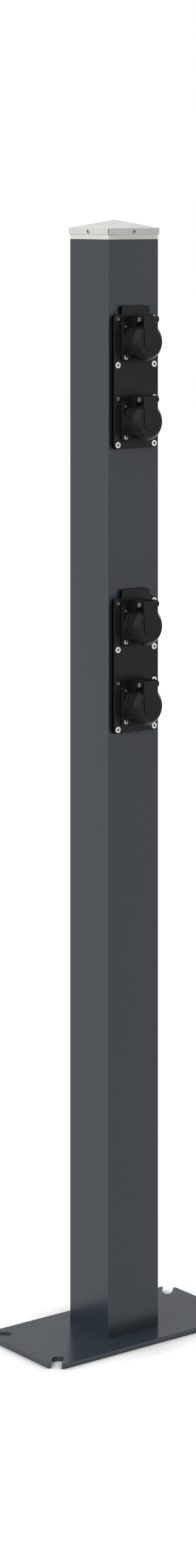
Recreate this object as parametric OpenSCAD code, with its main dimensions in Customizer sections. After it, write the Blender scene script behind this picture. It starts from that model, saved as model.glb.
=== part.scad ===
/* [Base plate] */
// Length of the floor plate
base_l = 300; // [260:5:360]
// Width of the floor plate
base_w = 150; // [120:5:200]
// Thickness of the floor plate
base_t = 6; // [5:0.5:10]
// Width of each open corner slot
slot_w = 13.5; // [10:0.5:15]
// Distance of a slot's round end from both plate edges
slot_inset = 21; // [19:0.5:26]
// Rounding of the slot tips
tip_r = 2; // [1:0.25:2.5]
// Diameter of the cable hole under the post
cable_hole_d = 50; // [30:1:60]

/* [Post] */
// Side of the square tube
post_w = 80; // [78:1:100]
// Wall of the square tube
post_wall = 3; // [2:0.5:4]
// Outer corner radius of the tube
post_r = 2; // [1:0.25:2]
// Length of the tube
post_h = 1382; // [1340:1:1500]

/* [Collar and cap] */
// Height of the light band between the tube and the cap
band_h = 6.6; // [5:0.2:10]
// Height of the shadow joint under the band
shadow_gap = 0.2; // [0.1:0.1:0.8]
// Depth of the collar's spigot in the tube
spigot_h = 24; // [15:1:40]
// Wall of the collar
collar_wall = 6; // [4:0.5:8]
// Sheet thickness of the cap
cap_t = 1.2; // [1:0.1:1.5]
// Height of the cap's skirt
skirt_h = 7.6; // [7:0.2:12]
// Rise of the cap's roof from its fold to the tip
roof_h = 10.8; // [6:0.2:20]
// Head diameter of the cap screws
cap_head_d = 6.4; // [5:0.2:6.8]

/* [Socket modules] */
// Distance from the top of the tube down to the upper module's centre
module_drop = 179; // [150:1:260]
// Distance between the two module centres
module_pitch = 358; // [300:1:400]
// Distance between the two sockets of a module
socket_pitch = 100.5; // [96:0.5:110]
// Width of a module plate
plate_w = 70; // [68:0.5:74]
// Height of a module plate
plate_h = 169.5; // [166:0.5:190]
// Thickness of a module plate
plate_t = 5; // [4:0.5:8]
// Corner radius of a module plate
plate_r = 5.5; // [3:0.5:7]
// Width of the tab on top of a module plate
tab_w = 45; // [30:1:56]
// Height of the tab above a module plate
tab_h = 11.2; // [8:0.2:16]
// Thickness of the rubber gasket behind a plate
gasket_t = 1; // [0.5:0.1:2]
// Side of the square of plate screws round a socket
screw_square = 58; // [56:0.5:59]
// Head diameter of a plate screw
plate_head_d = 8; // [7:0.2:9]

/* [Sockets] */
// Side of a socket's square flange
flange_w = 50; // [49:0.5:52]
// Thickness of a socket's flange
flange_t = 4; // [3:0.25:6]
// Distance between the screws of a flange
flange_pitch = 38.5; // [38:0.25:39.5]
// Head diameter of a flange screw
flange_head_d = 6.6; // [6:0.2:7.2]
// Diameter of the plug recess
recess_d = 39.5; // [39:0.1:40]
// Depth of the plug recess
recess_depth = 17.5; // [17:0.25:20]
// Wall of the socket insert round the recess
insert_wall = 1; // [0.8:0.1:1.2]
// Wall of the housing round the insert
housing_wall = 1.2; // [1:0.1:1.4]
// Distance between the two contact holes
contact_pitch = 19; // [18.5:0.1:19.5]
// Diameter of a contact hole
contact_hole_d = 5.2; // [5:0.1:5.6]

/* [Lids] */
// Diameter of the flat disc on the lid's front
lid_disc_d = 33.8; // [32:0.2:36]
// Distance from the rim of the recess to the lid's front
lid_rise = 8; // [7.5:0.1:9]
// Rounding round the lid's disc
lid_edge_r = 2.5; // [1:0.1:3]
// Width of the strap that runs from the hinge over the disc
strap_w = 21.6; // [18:0.2:22]
// Height of the strap above the disc
strap_t = 1; // [0.6:0.1:1.4]
// Height of the hinge pin above the socket's centre
hinge_up = 28.6; // [28:0.1:30]
// Diameter of the tubular hinge pin
pin_d = 4.6; // [4:0.1:4.8]
// Bore of the tubular hinge pin
pin_bore = 2.4; // [1.5:0.1:2.8]
// Diameter of the rolled rim at each end of the pin
pin_rim_d = 5.6; // [5:0.1:6]
// Outer radius of the lid's knuckles
knuckle_r = 3.8; // [3.5:0.1:4.2]
// Width of one ear of the hinge block
ear_t = 3; // [2:0.25:4]
// Wire diameter of the closing spring
wire_d = 0.9; // [0.7:0.05:1]
// Turns of the closing spring
spring_turns = 5; // [3:1:5]
// Thickness of the rubber ring in the lid
seal_t = 1.4; // [1:0.1:2]

/* [Wiring inside] */
// Diameter of an inner lead
lead_d = 6.4; // [5:0.2:6.8]
// Width of one rail terminal
terminal_w = 8.2; // [8:0.1:9]
// Bend radius of an inner lead at its centre line
lead_bend = 22; // [18:0.5:22]

/* [Hidden] */
$fn = 48;

// Clearances that seat one piece in another
slip = 0.1;
hinge_slip = 0.05;
screw_slip = 0.2;
seat_gap = 0.3;
turn_gap = 0.5;

// How far a cut runs past the face that it opens, and how far two forms of one piece lap
past = 1;
lap = 0.01;

// Heights above the floor: the tube stands on the base plate, and the band and the cap on the tube
post_top = base_t + post_h;
skirt_z = post_top + band_h;
tip_steps = 6;
fold_z = skirt_z + skirt_h;
cap_gap = 0.1;
cap_slit = 0.3;
cap_w = post_w + 2 * (cap_gap + cap_t);
collar_top = fold_z - cap_t - seat_gap;
spigot_w = post_w - 2 * post_wall - 2 * slip;
neck_in = 1.2;
neck_w = post_w - 2 * neck_in;
cap_screw_low = 0.3;
cap_screw_z = skirt_z + skirt_h / 2 - cap_screw_low;
cap_shank_d = 3;
cap_shank_l = 8;
cap_head_h = 1.1;
cap_socket_w = 2.5;

upper_z = post_top - module_drop;
lower_z = upper_z - module_pitch;
MODULES = [upper_z, lower_z];
SOCKETS = [
    upper_z + socket_pitch / 2, upper_z - socket_pitch / 2,
    lower_z + socket_pitch / 2, lower_z - socket_pitch / 2
];

// A socket's own frame: x across the post, y up, z out of the post's front face
plate_front = gasket_t + plate_t;
flange_front = plate_front + flange_t;
rim_z = flange_front + recess_depth;
recess_r = recess_d / 2;
insert_r = recess_r + insert_wall;
housing_bore_r = insert_r + slip;
housing_r = housing_bore_r + housing_wall;
sleeve_gap = 0.3;
plate_hole_r = housing_r + sleeve_gap;
flare = 1.35;
flare_steps = 6;
flange_r = 3;
flange_edge = 1.1;
plate_edge = 0.7;
tab_r = 4;
sleeve_depth = 4;
sleeve_lip_t = 1.5;
sleeve_lip_r = 18.5;
chamber_r = sleeve_lip_r - slip;
chamber_depth = 14;
window_play = 1;
window_w = 2 * (housing_r + window_play);
window_h = socket_pitch + 2 * (housing_r + window_play);
window_r = 4;

// Countersunk screws of the plates and flanges: a cone under the surface and a low crown above it
plate_shank_d = 4;
plate_crown_h = 0.3;
plate_socket_w = 3;
plate_screw_past = 2;
flange_shank_d = 3;
flange_crown_h = 0.7;
flange_socket_w = 2.5;
flange_screw_short = 0.5;
socket_share = 0.7;
thread_gap = 0.05;

// Hinge: the pin's axis lies hinge_out in front of the flange
hinge_out = 20;
hinge_z = flange_front + hinge_out;
ear_proud = 0.5;
ear_r = knuckle_r + ear_proud;
ear_gap = turn_gap + slip;
block_w = strap_w + 2 * (ear_t + ear_gap);
block_top = hinge_up + ear_r;
block_bottom = 14;
block_back = 2.7;
block_front = hinge_z - ear_r - block_back;
block_root = 0.5;
housing_fillet = 1.4;
pin_rim_t = 0.5;
pin_fit = 0.02;
pin_l = block_w + 2 * (pin_fit + pin_rim_t);

// Lid: a shallow cone closed by the disc, as wide at its rim as the housing's flared end
lid_front = rim_z + lid_rise;
lid_rim_r = housing_r + flare + slip;
lip_wall = 1;
lip_r = lid_rim_r - lip_wall;
lid_gap = 0.4;
lip_h = 1;
lid_roof_t = 2.4;
cone_out = lid_rim_r - lid_disc_d / 2;
cone_down = lid_front - lid_edge_r - (rim_z + lid_gap + lip_h);
cone_turn = acos(lid_edge_r / norm([cone_out, cone_down])) - atan2(cone_down, cone_out);
seal_bottom = rim_z + seat_gap;
seal_top = seal_bottom + seal_t;
seal_bore_r = 17.4;
strap_front = lid_front + strap_t;
strap_root = 1;
strap_edge_r = 1.5;
crease_y = 14.5;
lean = 0.105;

// Spring: coiled round the pin between the lid's knuckles
coil_play = 0.45;
coil_r = pin_d / 2 + wire_d / 2 + coil_play;
turn_space = 0.6;
coil_pitch = wire_d + turn_space;
slot_half = (spring_turns * coil_pitch + wire_d) / 2 + coil_play;
coil_room = 0.25;
coil_clear_r = coil_r + wire_d / 2 + coil_room;
spring_sides = 6;
spring_rings = 8;
leg_l = hinge_z - block_front - seat_gap;

// Insert: floor, contact chimneys, guide ribs and the channels of the earth clip
insert_low = 0.2;
floor_t = 3;
chimney_wall = 0.8;
centre_hole_d = 2.9;
centre_hole_depth = 8;
clip_w = 5;
clip_t = 0.8;
clip_arm = 14;
clip_bow = 2.2;
clip_bow_from = 6;
clip_bow_tip = 10;
clip_hole_d = 3.4;
clip_lift = 0.1;
channel_play = 0.2;
channel_w = clip_w + 2 * channel_play;
channel_floor = 1;
channel_short = 3;
channel_in = 1.85;
channel_y = recess_r - channel_in;
clip_out = 1;
clip_y = channel_y + clip_out;
rib_w = 2.4;
rib_h = 4.8;
rib_in = 0.9;
rib_short = 2.3;
centre_screw_d = 5;
centre_screw_h = 1.2;
centre_shank_d = 2.8;
centre_shank_l = 6;
centre_socket_w = 2;

// Contacts: slit sleeves on solid ends that are bored for a wire
contact_wall = 0.7;
contact_bore_r = 2.5;
contact_from = -7;
contact_slit = 0.8;
contact_slit_from = -4;
contact_slit_to = 8;
wire_hole_r = 1.4;
wire_hole_depth = 5;
contact_up = 0.5;
contact_down = 0.1;

// Wiring space in the tube
inner_y = post_w / 2 - post_wall;
stud_l = 8;
nut_w = 7;
nut_h = 3.2;
lug_t = 1;
lug_r = 4.4;
lug_neck_w = 4;
lug_neck = 8;
rail_w = 35;
rail_base_w = 27;
rail_depth = 7.5;
rail_t = 1;
rail_l = 56;
rail_stud_x = 22;
stud_d = 4;
terminal_half = 16;
foot_out = 2.3;
foot_half = rail_w / 2 + foot_out;
rail_seat = 0.2;
hook_t = 1.2;
hook_grip = 1.2;
foot_depth = 9;
terminal_front = -6;
terminal_gap = 0.2;
terminal_chamfer = 3;
wire_well = 10;
clamp_hole_d = 4;
clamp_hole_depth = 6;
clamp_y = 7;
lead_start_y = chamber_depth - post_w / 2;
lead_run = 6;
lead_y = lead_start_y + lead_run + lead_bend;
lead_drop = 10;
lead_in = 6;
LEAD_X = [-1.5 * terminal_w, -0.5 * terminal_w, 0.5 * terminal_w, -0.5 * terminal_w];
bond_d = 3;
bond_bend = 8;
bond_z = lower_z - 56;
bond_x = 1.5 * terminal_w;
bond_drop = 6;

// Flat shapes with true round corners
module rounded_rect(w, h, r) {
    square([w - 2 * r, h], center = true);
    square([w, h - 2 * r], center = true);
    for (sx = [-1, 1]) {
        for (sy = [-1, 1]) {
            translate([sx * (w / 2 - r), sy * (h / 2 - r)]) circle(r);
        }
    }
}

// Upright block with round corners and a chamfer round its top edge
module chamfered_block(w, h, t, r, c) {
    for (a = [0, 90]) {
        across = a == 0 ? w : h;
        along = a == 0 ? h : w;
        rotate([0, 0, a]) rotate([90, 0, 0]) linear_extrude(along - 2 * r, center = true) {
            polygon([
                [-across / 2, 0], [across / 2, 0], [across / 2, t - c],
                [across / 2 - c, t], [c - across / 2, t], [-across / 2, t - c]
            ]);
        }
    }
    for (sx = [-1, 1]) {
        for (sy = [-1, 1]) {
            translate([sx * (w / 2 - r), sy * (h / 2 - r), 0]) {
                cylinder(r = r, h = t - c);
                translate([0, 0, t - c]) cylinder(r1 = r, r2 = r - c, h = c);
            }
        }
    }
}

// Puts what is drawn in a socket's own frame on the post's front face at one height
module on_post(z) {
    translate([0, -post_w / 2, z]) rotate([90, 0, 0]) children();
}

// Low crown of a screw's head on z = 0, as wide as the head, with a hexagon socket sunk to z = -down
module crown(head_d, head_h, socket_w, down) {
    crown_r = (head_d * head_d / 4 + head_h * head_h) / (2 * head_h);
    difference() {
        union() {
            intersection() {
                cylinder(d = head_d, h = head_h);
                translate([0, 0, head_h - crown_r]) sphere(crown_r, $fn = 96);
            }
            children();
        }
        translate([0, 0, -down]) cylinder(d = socket_w / cos(30), h = down + head_h + past, $fn = 6);
    }
}

// Button-headed screw, head upwards, its seat at z = 0
module button_screw(head_d, head_h, shank_d, shank_l, socket_w) {
    crown(head_d, head_h, socket_w, 0) translate([0, 0, -shank_l]) cylinder(d = shank_d, h = shank_l + lap);
}

// Countersunk cone that ends at z = 0; the screw's head and its seat are the same cone
module sink(head_d, shank_d) {
    depth = (head_d - shank_d) / 2;
    translate([0, 0, -depth]) cylinder(d1 = shank_d, d2 = head_d, h = depth);
}

module sunk_screw(head_d, crown_h, shank_d, shank_l, socket_w) {
    depth = (head_d - shank_d) / 2;
    crown(head_d, crown_h, socket_w, socket_share * depth) {
        sink(head_d, shank_d);
        translate([0, 0, -shank_l]) cylinder(d = shank_d, h = shank_l - depth + lap);
    }
}

// Outline of the floor plate in one quarter: two rounded tips with the slot between them
function arc(x, y, r, from, to) = [
    for (i = [0:tip_steps])
        let (a = from + (to - from) * i / tip_steps)
        [x + r * cos(a), y + r * sin(a)]
];
function first_quarter() =
    let (
        l = base_l / 2,
        w = base_w / 2,
        back = slot_w / sqrt(2) + tip_r / tan(22.5),
        half = slot_w / 2 / sqrt(2)
    )
    concat(
        arc(l - tip_r, w - back, tip_r, 0, 135),
        [[l - slot_inset + half, w - slot_inset - half], [l - slot_inset - half, w - slot_inset + half]],
        arc(l - back, w - tip_r, tip_r, -45, 90)
    );
function reversed(list) = [for (i = [len(list) - 1:-1:0]) list[i]];
function quarter(sx, sy) = [for (p = first_quarter()) [sx * p[0], sy * p[1]]];

module base_outline() {
    difference() {
        polygon(concat(quarter(1, 1), reversed(quarter(-1, 1)), quarter(-1, -1), reversed(quarter(1, -1))));
        for (sx = [-1, 1]) {
            for (sy = [-1, 1]) {
                translate([sx * (base_l / 2 - slot_inset), sy * (base_w / 2 - slot_inset)]) {
                    circle(d = slot_w);
                }
            }
        }
    }
}

module base_plate() {
    color([0.24, 0.25, 0.27]) difference() {
        linear_extrude(base_t) base_outline();
        translate([0, 0, -past]) cylinder(d = cable_hole_d, h = base_t + 2 * past);
    }
}

// Threaded stud welded to the inside of the back wall
module stud(x, z) {
    translate([x, inner_y + lap, z]) rotate([90, 0, 0]) cylinder(d = stud_d, h = stud_l);
}

module post_tube() {
    color([0.22, 0.23, 0.25]) {
        difference() {
            translate([0, 0, base_t]) linear_extrude(post_h) difference() {
                rounded_rect(post_w, post_w, post_r);
                square(post_w - 2 * post_wall, center = true);
            }
            for (z = MODULES) {
                on_post(z) {
                    translate([0, 0, -post_wall - past]) linear_extrude(post_wall + 2 * past) {
                        rounded_rect(window_w, window_h, window_r);
                    }
                    translate([0, 0, -post_wall - past]) plate_screw_places() {
                        cylinder(d = plate_shank_d + 2 * thread_gap, h = post_wall + 2 * past);
                    }
                }
            }
        }
        for (x = [-rail_stud_x, rail_stud_x]) {
            stud(x, lower_z);
        }
        stud(bond_x, bond_z);
    }
}

// Collar: a square ring flush with the tube, with a spigot that plugs into it
module top_collar() {
    color([0.8, 0.8, 0.78]) difference() {
        union() {
            translate([0, 0, post_top + shadow_gap]) linear_extrude(collar_top - post_top - shadow_gap) {
                rounded_rect(post_w, post_w, post_r);
            }
            translate([0, 0, post_top]) linear_extrude(shadow_gap) {
                square(neck_w, center = true);
            }
            translate([0, 0, post_top - spigot_h]) linear_extrude(spigot_h) square(spigot_w, center = true);
        }
        translate([0, 0, post_top - spigot_h - past]) {
            linear_extrude(spigot_h + band_h + skirt_h + 2 * past) {
                square(spigot_w - 2 * collar_wall, center = true);
            }
        }
        cap_screw_places() translate([0, 0, -collar_wall - post_wall - past]) {
            cylinder(d = cap_shank_d + 2 * thread_gap, h = collar_wall + post_wall + 2 * past);
        }
    }
}

// The four faces of the cap's skirt, each with its frame pointing outwards
module cap_screw_places() {
    for (a = [0:90:270]) {
        rotate([0, 0, a]) translate([0, -cap_w / 2, cap_screw_z]) rotate([90, 0, 0]) children();
    }
}

// Square block with a pyramid roof: two gabled prisms that cross
module roofed_block(w, low, eaves, rise) {
    intersection_for (a = [0, 90]) {
        rotate([90, 0, a]) linear_extrude(w, center = true) {
            polygon([[-w / 2, low], [w / 2, low], [w / 2, eaves], [0, eaves + rise], [-w / 2, eaves]]);
        }
    }
}

// Cap: one sheet folded down on four sides; at each corner one skirt runs past the end of the next
module top_cap() {
    cut_h = skirt_h - cap_t + past;
    color([0.82, 0.83, 0.82]) difference() {
        roofed_block(cap_w, skirt_z, fold_z, roof_h);
        roofed_block(cap_w - 2 * cap_t, skirt_z - past, fold_z - cap_t, roof_h);
        for (a = [0:90:270]) {
            rotate([0, 0, a]) translate([-cap_w / 2, -cap_w / 2, skirt_z - past]) {
                translate([-past, -past, 0]) cube([cap_t + cap_slit + past, past + cap_slit, cut_h]);
                translate([cap_t, 0, 0]) cube([cap_slit, cap_t + past, cut_h]);
            }
        }
        cap_screw_places() translate([0, 0, -cap_t - past]) {
            cylinder(d = cap_shank_d + 2 * screw_slip, h = cap_t + 2 * past);
        }
    }
}

module cap_screws() {
    color([0.85, 0.85, 0.86]) cap_screw_places() {
        button_screw(cap_head_d, cap_head_h, cap_shank_d, cap_shank_l, cap_socket_w);
    }
}

// Screws of one plate, a square of four round each socket
module plate_screw_places() {
    for (y = [-socket_pitch / 2, socket_pitch / 2]) {
        for (sx = [-1, 1]) {
            for (sy = [-1, 1]) {
                translate([sx * screw_square / 2, y + sy * screw_square / 2, 0]) children();
            }
        }
    }
}

module flange_screw_places() {
    for (sx = [-1, 1]) {
        for (sy = [-1, 1]) {
            translate([sx * flange_pitch / 2, sy * flange_pitch / 2, 0]) children();
        }
    }
}

module plate_outline() {
    rounded_rect(plate_w, plate_h, plate_r);
    translate([0, plate_h / 2 + tab_h / 2 - tab_r]) rounded_rect(tab_w, tab_h + 2 * tab_r, tab_r);
}

module module_plate(z) {
    color([0.16, 0.16, 0.17]) on_post(z) difference() {
        translate([0, 0, gasket_t]) {
            chamfered_block(plate_w, plate_h, plate_t, plate_r, plate_edge);
            translate([0, plate_h / 2 + tab_h / 2 - tab_r, 0]) {
                chamfered_block(tab_w, tab_h + 2 * tab_r, plate_t, tab_r, plate_edge);
            }
        }
        for (y = [-socket_pitch / 2, socket_pitch / 2]) {
            translate([0, y, 0]) cylinder(r = plate_hole_r, h = plate_front + past);
            translate([0, y, 0]) flange_screw_places() {
                cylinder(d = flange_shank_d + 2 * thread_gap, h = plate_front + past);
            }
        }
        plate_screw_places() {
            cylinder(d = plate_shank_d + 2 * screw_slip, h = plate_front + past);
            translate([0, 0, plate_front]) {
                sink(plate_head_d, plate_shank_d);
                cylinder(d = plate_head_d, h = past);
            }
        }
    }
}

module module_gasket(z) {
    color([0.08, 0.08, 0.08]) on_post(z) difference() {
        linear_extrude(gasket_t) plate_outline();
        for (y = [-socket_pitch / 2, socket_pitch / 2]) {
            translate([0, y, -past]) cylinder(r = plate_hole_r, h = gasket_t + 2 * past);
            translate([0, y, -past]) flange_screw_places() {
                cylinder(d = flange_shank_d + 2 * screw_slip, h = gasket_t + 2 * past);
            }
        }
        translate([0, 0, -past]) plate_screw_places() {
            cylinder(d = plate_shank_d + 2 * screw_slip, h = gasket_t + 2 * past);
        }
    }
}

module module_screws(z) {
    color([0.85, 0.85, 0.86]) on_post(z) translate([0, 0, plate_front]) plate_screw_places() {
        shank_l = plate_front + post_wall + plate_screw_past;
        sunk_screw(plate_head_d, plate_crown_h, plate_shank_d, shank_l, plate_socket_w);
    }
}

// Housing: a square flange and a round collar in one moulding, with the hinge block above
module housing(z) {
    fillet = housing_fillet;
    color([0.15, 0.15, 0.16]) on_post(z) difference() {
        union() {
            translate([0, 0, plate_front]) {
                chamfered_block(flange_w, flange_w, flange_t, flange_r, flange_edge);
            }
            rotate_extrude() difference() {
                union() {
                    polygon(concat(
                        [[0, -sleeve_depth], [housing_r, -sleeve_depth], [housing_r, flange_front]],
                        [
                            for (i = [1:flare_steps])
                                let (s = i / flare_steps)
                                [housing_r + flare * s * s, flange_front + s * recess_depth]
                        ],
                        [[0, rim_z]]
                    ));
                    translate([0, flange_front - past]) square([housing_r + fillet, fillet + past]);
                }
                translate([housing_r + fillet, flange_front + fillet]) circle(fillet);
            }
            translate([-block_w / 2, block_bottom, flange_front - block_root]) {
                cube([block_w, block_top - block_bottom, block_front - flange_front + block_root]);
            }
            for (sx = [-1, 1]) {
                translate([sx * (block_w - ear_t) / 2, 0, 0]) rotate([90, 0, 90]) {
                    linear_extrude(ear_t, center = true) {
                        translate([hinge_up, hinge_z]) circle(ear_r);
                        translate([hinge_up - ear_r, block_front - block_root]) {
                            square([2 * ear_r, hinge_z - block_front + block_root]);
                        }
                    }
                }
            }
        }
        translate([0, 0, sleeve_lip_t - sleeve_depth]) {
            cylinder(r = housing_bore_r, h = rim_z + sleeve_depth);
        }
        translate([0, 0, -sleeve_depth - past]) cylinder(r = sleeve_lip_r, h = sleeve_lip_t + 2 * past);
        translate([0, hinge_up, hinge_z]) rotate([0, 90, 0]) {
            cylinder(d = pin_d + 2 * pin_fit, h = block_w + 2 * past, center = true);
        }
        translate([0, 0, plate_front - past]) flange_screw_places() {
            cylinder(d = flange_shank_d + 2 * screw_slip, h = flange_t + 2 * past);
            translate([0, 0, flange_t + past]) {
                sink(flange_head_d, flange_shank_d);
                cylinder(d = flange_head_d, h = past);
            }
        }
    }
}

// Insert: the cup that takes the plug, with contact holes, guide ribs and channels for the earth clip
module insert(z) {
    bottom = -sleeve_depth + sleeve_lip_t + slip;
    chimney_r = contact_hole_d / 2 + chimney_wall;
    color([0.1, 0.1, 0.11]) on_post(z) {
        difference() {
            union() {
                translate([0, 0, bottom]) cylinder(r = insert_r, h = rim_z - insert_low - bottom);
                translate([0, 0, -chamber_depth]) cylinder(r = chamber_r, h = chamber_depth);
            }
            translate([0, 0, flange_front]) cylinder(r = recess_r, h = recess_depth + past);
            for (sx = [-1, 1]) {
                translate([sx * contact_pitch / 2, 0, -chamber_depth - past]) {
                    cylinder(r = chimney_r, h = chamber_depth + past + flange_front - floor_t);
                    cylinder(d = contact_hole_d, h = chamber_depth + 2 * past + flange_front);
                }
            }
            translate([0, 0, flange_front - centre_hole_depth]) {
                cylinder(d = centre_hole_d, h = centre_hole_depth + past);
            }
            translate([0, 0, flange_front]) {
                cube([channel_w, 2 * insert_r + 2 * past, 2 * channel_floor], center = true);
            }
            for (a = [0, 180]) {
                rotate([0, 0, a]) translate([-channel_w / 2, channel_y, flange_front - channel_floor]) {
                    cube([channel_w, insert_r + past - channel_y, recess_depth - channel_short]);
                }
            }
        }
        for (a = [0, 180]) {
            rotate([0, 0, a]) translate([recess_r - rib_in - rib_w / 2, -rib_h / 2, flange_front - lap]) {
                cube([rib_w, rib_h, recess_depth - rib_short]);
            }
        }
    }
}

// Contacts: two slit sleeves, each with a solid end that takes a wire
module contacts(z) {
    sleeve_r = contact_hole_d / 2 + contact_wall;
    bottom = contact_up - chamber_depth;
    top = flange_front - floor_t - contact_down;
    color([0.78, 0.62, 0.3]) on_post(z) for (sx = [-1, 1]) {
        translate([sx * contact_pitch / 2, 0, 0]) difference() {
            translate([0, 0, bottom]) cylinder(r = sleeve_r, h = top - bottom);
            translate([0, 0, contact_from]) cylinder(r = contact_bore_r, h = top - contact_from + past);
            translate([-contact_slit / 2, -sleeve_r - past, contact_slit_from]) {
                cube([contact_slit, 2 * sleeve_r + 2 * past, contact_slit_to - contact_slit_from]);
            }
            translate([0, 0, -chamber_depth]) cylinder(r = wire_hole_r, h = wire_hole_depth);
        }
    }
}

// Earth clip: a bent strip whose two arms grip the plug's sides
module earth_clip(z) {
    low = flange_front - channel_floor + clip_lift;
    inside = clip_y - clip_t;
    color([0.8, 0.66, 0.35]) on_post(z) difference() {
        rotate([90, 0, 90]) linear_extrude(clip_w, center = true) {
            translate([-clip_y, low]) square([2 * clip_y, clip_t]);
            for (s = [-1, 1]) {
                scale([s, 1]) {
                    translate([inside, low]) square([clip_t, clip_arm]);
                    polygon([
                        [inside, low + clip_arm], [clip_y - clip_bow, low + clip_bow_tip],
                        [inside, low + clip_bow_from]
                    ]);
                }
            }
        }
        translate([0, 0, low - past]) cylinder(d = clip_hole_d, h = clip_t + 2 * past);
    }
}

module insert_screws() {
    head_z = flange_front - channel_floor + clip_lift + clip_t;
    color([0.8, 0.8, 0.8]) for (z = SOCKETS) {
        on_post(z) translate([0, 0, head_z]) {
            button_screw(centre_screw_d, centre_screw_h, centre_shank_d, centre_shank_l, centre_socket_w);
        }
    }
}

module flange_screws(z) {
    shank_l = flange_t + plate_t - flange_screw_short;
    color([0.85, 0.85, 0.86]) on_post(z) translate([0, 0, flange_front]) flange_screw_places() {
        sunk_screw(flange_head_d, flange_crown_h, flange_shank_d, shank_l, flange_socket_w);
    }
}

// Hinge pin: a tube through both ears, with its ends rolled over to a rim
module hinge_pin(z) {
    color([0.85, 0.85, 0.86]) on_post(z) translate([0, hinge_up, hinge_z]) rotate([0, 90, 0]) difference() {
        union() {
            cylinder(d = pin_d, h = pin_l, center = true);
            for (a = [0, 180]) {
                rotate([a, 0, 0]) translate([0, 0, pin_l / 2 - pin_rim_t]) {
                    cylinder(d = pin_rim_d, h = pin_rim_t / 2);
                    translate([0, 0, pin_rim_t / 2]) {
                        cylinder(d1 = pin_rim_d, d2 = pin_rim_d - pin_rim_t, h = pin_rim_t / 2);
                    }
                }
            }
        }
        cylinder(d = pin_bore, h = pin_l + 2 * past, center = true);
    }
}

// Ring of points round the wire's centre line, square to it at turn t; the leg runs straight back
function coil_angle(i) = -90 + 360 * i / spring_rings;
function coil_x(i) = (i / spring_rings - spring_turns / 2) * coil_pitch;
function coil_ring(i) = [
    for (k = [0:spring_sides - 1])
        let (a = 360 * k / spring_sides, r = coil_r + wire_d / 2 * cos(a))
        [coil_x(i) + wire_d / 2 * sin(a), r * sin(coil_angle(i)), r * cos(coil_angle(i))]
];
function leg_ring(x, out) = [
    for (k = [0:spring_sides - 1])
        let (a = 360 * k / spring_sides)
        [x + wire_d / 2 * sin(a), -coil_r - wire_d / 2 * cos(a), out]
];

// Closes a tube: quads between rings, and both ends
function tube_faces(rings, sides) = concat(
    [
        for (i = [0:rings - 2], k = [0:sides - 1])
            for (tri = [
                [i * sides + k, (i + 1) * sides + k, i * sides + (k + 1) % sides],
                [(i + 1) * sides + k, (i + 1) * sides + (k + 1) % sides, i * sides + (k + 1) % sides]
            ])
            tri
    ],
    [for (k = [1:sides - 2]) [0, k, k + 1]],
    [for (k = [1:sides - 2]) [(rings - 1) * sides, (rings - 1) * sides + k + 1, (rings - 1) * sides + k]]
);

echo(least_gap_between_spring_turns = coil_pitch - wire_d);

module hinge_spring(z) {
    n = spring_turns * spring_rings;
    rings = concat(
        [leg_ring(coil_x(0), -leg_l), leg_ring(coil_x(0), -coil_r / 2)],
        [for (i = [0:n]) coil_ring(i)]
    );
    color([0.7, 0.7, 0.72]) on_post(z) translate([0, hinge_up, hinge_z]) {
        polyhedron(
            points = [for (ring = rings, p = ring) p],
            faces = tube_faces(len(rings), spring_sides),
            convexity = 8
        );
    }
}

// Half of the lid's cross-section, from its axis to its rim
module lid_section() {
    disc_r = lid_disc_d / 2;
    polygon([
        [0, rim_z + lid_gap],
        [lid_rim_r, rim_z + lid_gap],
        [lid_rim_r, rim_z + lid_gap + lip_h],
        [disc_r + lid_edge_r * cos(cone_turn), lid_front - lid_edge_r + lid_edge_r * sin(cone_turn)],
        [disc_r, lid_front],
        [0, lid_front]
    ]);
    translate([disc_r, lid_front - lid_edge_r]) circle(lid_edge_r);
}

// Side view of the strap's upper end: it leans back to the hinge and closes round the pin
module strap_side() {
    top = hinge_up + knuckle_r;
    corner_r = strap_edge_r;
    slant = sqrt(1 + lean * lean);
    corner_z = strap_front + lean * crease_y - lean * (top - corner_r) - corner_r * slant;
    back = hinge_z + strap_edge_r;
    translate([hinge_up, hinge_z]) circle(knuckle_r);
    translate([top - corner_r, corner_z]) circle(corner_r);
    polygon([
        [crease_y, lid_front - strap_edge_r],
        [crease_y, strap_front],
        [top - corner_r + corner_r * lean / slant, corner_z + corner_r / slant],
        [top, corner_z],
        [top, hinge_z],
        [hinge_up, hinge_z],
        [hinge_up - knuckle_r, hinge_z],
        [hinge_up - knuckle_r, back],
        [crease_y + 5, back]
    ]);
}

module lid(z) {
    color([0.17, 0.17, 0.18]) on_post(z) difference() {
        union() {
            difference() {
                rotate_extrude() lid_section();
                translate([0, 0, rim_z - past]) cylinder(r = lip_r, h = seal_top - rim_z + past);
                translate([0, 0, rim_z]) cylinder(r = seal_bore_r, h = lid_rise - lid_roof_t);
            }
            translate([0, 0, lid_front - strap_root]) linear_extrude(strap_root + strap_t) {
                circle(d = strap_w);
                translate([-strap_w / 2, 0]) square([strap_w, crease_y + lap]);
            }
            rotate([90, 0, 90]) linear_extrude(strap_w, center = true) strap_side();
        }
        translate([0, hinge_up, hinge_z]) rotate([0, 90, 0]) {
            cylinder(d = pin_d + 2 * hinge_slip, h = strap_w + 2 * past, center = true);
            cylinder(r = coil_clear_r, h = 2 * slot_half, center = true);
        }
        translate([-slot_half, hinge_up - knuckle_r - past, hinge_z - knuckle_r - past]) {
            cube([2 * slot_half, 2 * knuckle_r + 2 * past, knuckle_r + past]);
        }
    }
}

module lid_seal(z) {
    color([0.06, 0.06, 0.06]) on_post(z) translate([0, 0, seal_bottom]) difference() {
        cylinder(r = lip_r - slip, h = seal_t);
        translate([0, 0, -past]) cylinder(r = seal_bore_r, h = seal_t + 2 * past);
    }
}

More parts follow.
